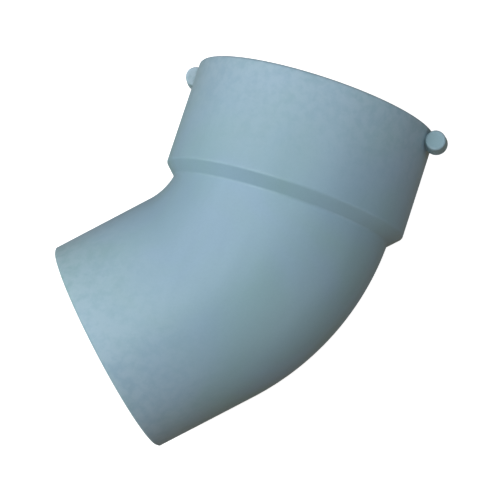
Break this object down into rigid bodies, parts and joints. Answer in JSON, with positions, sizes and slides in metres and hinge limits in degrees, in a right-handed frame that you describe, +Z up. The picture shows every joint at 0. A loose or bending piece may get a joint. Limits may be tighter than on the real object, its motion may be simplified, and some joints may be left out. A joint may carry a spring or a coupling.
{
  "type": "conduit elbow",
  "caption": "45 degree rigid plastic conduit elbow with a glue-in socket at one end, a plain spigot at the other, a conical shoulder and small side lugs.",
  "frame": {"origin": "centre of the pipe stop, where the conduit pushed into the socket ends", "axes": "+Y out of the socket along its axis; the bend lies in the XY plane and turns from -Y towards -X; +Z up with the elbow lying on its side"},
  "size_m": [0.1758, 0.1936, 0.1268],
  "materials": {
    "pvc": "satin moulded, blue-grey"
  },
  "bodies": {
    "root": {"socket_bell": "pvc", "shoulder_stop_ring": "pvc", "bend_tube": "pvc", "spigot_end": "pvc", "lug_heel_side": "pvc", "lug_throat_side": "pvc"}
  },
  "joints": []
}
